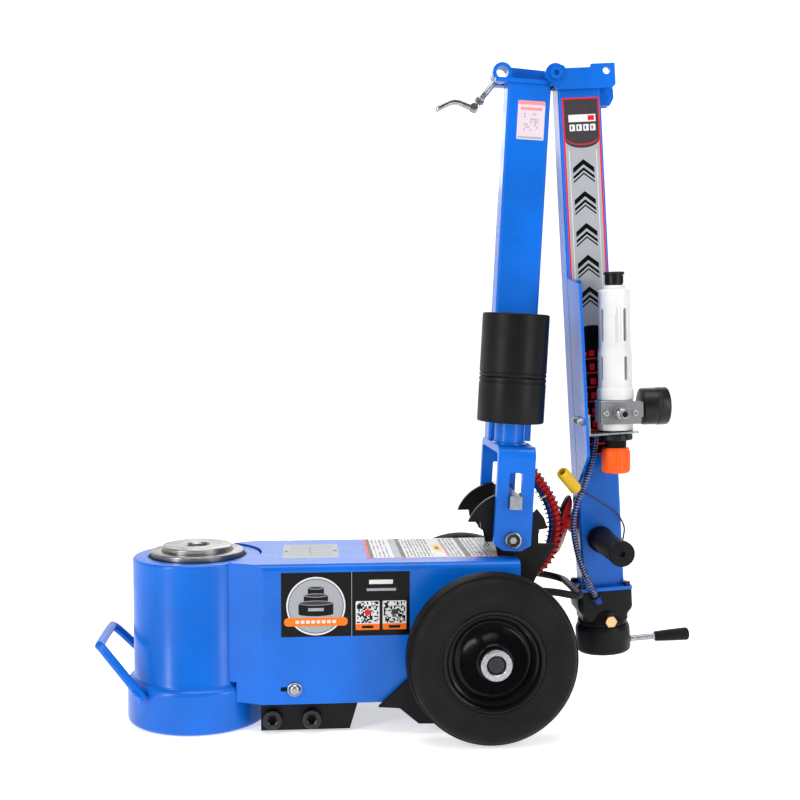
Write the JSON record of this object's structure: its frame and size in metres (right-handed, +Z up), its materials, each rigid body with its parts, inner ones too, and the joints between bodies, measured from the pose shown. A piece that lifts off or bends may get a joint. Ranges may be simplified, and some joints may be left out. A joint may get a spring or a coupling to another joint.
{
  "type": "air hydraulic truck jack",
  "caption": "Low two-stage air-hydraulic jack on two wheels with a folding handle, an air filter and regulator unit and loose lifting adapters.",
  "frame": {"origin": "middle of the foot's bottom face, under the axis of the rams", "axes": "+X from the rams to the wheels and handle, +Z up, -Y the side with the air unit"},
  "size_m": [0.8287, 0.372, 0.8939],
  "materials": {
    "blue_paint": "gloss",
    "black_paint": "satin",
    "ram_steel": "ground",
    "zinc_steel": "bright",
    "polished_metal": "polished",
    "black_oxide": "satin",
    "cast_iron": "rough",
    "cast_aluminium": "bead blasted",
    "brass": "satin",
    "tyre_rubber": "matt",
    "black_rubber": "matt",
    "white_plastic": "satin",
    "black_plastic": "satin",
    "orange_plastic": "satin",
    "yellow_plastic": "satin",
    "red_hose": "satin",
    "blue_hose": "satin"
  },
  "bodies": {
    "base": {"base_cylinder": "blue_paint", "ram_wiper_ring": "black_rubber", "front_loop": "blue_paint", "body_cover": "blue_paint", "pump_block": "cast_iron", "air_motor": "cast_aluminium", "side_bar_near": "black_paint", "side_bar_far": "black_paint", "bar_screw_near_1": "black_oxide", "bar_screw_near_2": "black_oxide", "bar_screw_far_1": "black_oxide", "bar_screw_far_2": "black_oxide", "cover_bolt_near": "zinc_steel", "axle_plate_near": "black_paint", "axle_plate_far": "black_paint", "quadrant_plate_near": "black_paint", "quadrant_plate_far": "black_paint", "axle": "black_oxide", "pivot_pin": "black_oxide", "rest_loop": "black_paint", "hose_bundle": "red_hose", "wheel_near_axle_collar": "zinc_steel", "wheel_far_axle_collar": "zinc_steel"},
    "outer_ram": {"ram_outer": "ram_steel"},
    "inner_ram": {"ram_inner": "ram_steel"},
    "wheel_near": {"wheel_near_tyre": "tyre_rubber", "wheel_near_rim": "black_paint"},
    "wheel_far": {"wheel_far_tyre": "tyre_rubber", "wheel_far_rim": "black_paint"},
    "lower_handle": {"fork": "blue_paint", "lower_tube": "blue_paint", "adapter_post": "blue_paint", "lower_hinge_bracket": "blue_paint", "hinge_pin": "blue_paint"},
    "latch": {"latch_bar": "zinc_steel"},
    "lower_adapter": {"adapter_lower": "black_paint"},
    "upper_adapter": {"adapter_upper": "black_paint"},
    "swing_bolt": {"swing_bolt": "zinc_steel"},
    "cam_lever": {"cam_lever": "polished_metal"},
    "upper_handle": {"upper_hinge_bracket": "blue_paint", "upper_tube": "blue_paint", "air_unit_bracket": "blue_paint", "air_unit_shelf": "zinc_steel", "bowl_guard": "white_plastic", "bowl_cap": "black_plastic", "regulator_body": "white_plastic", "regulator_ring_nut": "black_plastic", "port_plate": "cast_aluminium", "inlet_nipple": "zinc_steel", "pressure_gauge": "black_plastic", "control_block": "black_paint", "brass_plug": "brass", "grip_near": "black_rubber", "grip_far": "black_rubber", "rest_buffer": "black_rubber", "air_hose": "blue_hose", "dust_cap": "yellow_plastic"},
    "regulator_knob": {"regulator_knob": "orange_plastic"},
    "control_head": {"control_disc": "black_paint", "control_lever": "zinc_steel"}
  },
  "joints": [
    {"name": "outer_ram_lift", "type": "slide", "parent": "base", "child": "outer_ram", "axis": [0, 0, 1], "range_m": [0, 0.1]},
    {"name": "inner_ram_lift", "type": "slide", "parent": "outer_ram", "child": "inner_ram", "axis": [0, 0, 1], "range_m": [0, 0.09]},
    {"name": "wheel_near_spin", "type": "hinge", "parent": "base", "child": "wheel_near", "pos_m": [0.381, -0.148, 0.11], "axis": [0, 1, 0], "continuous": true},
    {"name": "wheel_far_spin", "type": "hinge", "parent": "base", "child": "wheel_far", "pos_m": [0.381, 0.148, 0.11], "axis": [0, 1, 0], "continuous": true},
    {"name": "handle_tilt", "type": "hinge", "parent": "base", "child": "lower_handle", "pos_m": [0.42, 0, 0.2475], "axis": [0, -1, 0], "range_deg": [0, 45], "deforming": ["hose_bundle"]},
    {"name": "latch_lift", "type": "slide", "parent": "lower_handle", "child": "latch", "axis": [0.0523, 0, 0.9986], "range_m": [0, 0.02], "stiffness_N_per_m": 400, "springref_m": -0.015},
    {"name": "lower_adapter_lift", "type": "slide", "parent": "lower_handle", "child": "lower_adapter", "axis": [0.0523, 0, 0.9986], "range_m": [0, 0.14]},
    {"name": "upper_adapter_lift", "type": "slide", "parent": "lower_adapter", "child": "upper_adapter", "axis": [0.0523, 0, 0.9986], "range_m": [0, 0.1]},
    {"name": "swing_bolt_swing", "type": "hinge", "parent": "lower_handle", "child": "swing_bolt", "pos_m": [0.42012, 0.038, 0.88036], "axis": [0, 1, 0], "range_deg": [0, 144.6]},
    {"name": "cam_lever_throw", "type": "hinge", "parent": "swing_bolt", "child": "cam_lever", "pos_m": [0.38285, 0.038, 0.83334], "axis": [0, -1, 0], "range_deg": [0, 115]},
    {"name": "handle_fold", "type": "hinge", "parent": "lower_handle", "child": "upper_handle", "pos_m": [0.49102, 0.035, 0.87665], "axis": [0, -1, 0], "range_deg": [0, 173.6]},
    {"name": "regulator_knob_turn", "type": "hinge", "parent": "upper_handle", "child": "regulator_knob", "pos_m": [0.57254, -0.021, 0.34708], "axis": [-0.0209, 0, 0.9998], "range_deg": [-180, 180]},
    {"name": "control_head_turn", "type": "hinge", "parent": "upper_handle", "child": "control_head", "pos_m": [0.57082, 0.034, 0.08999], "axis": [-0.0593, 0, 0.9982], "range_deg": [-40, 40]}
  ]
}
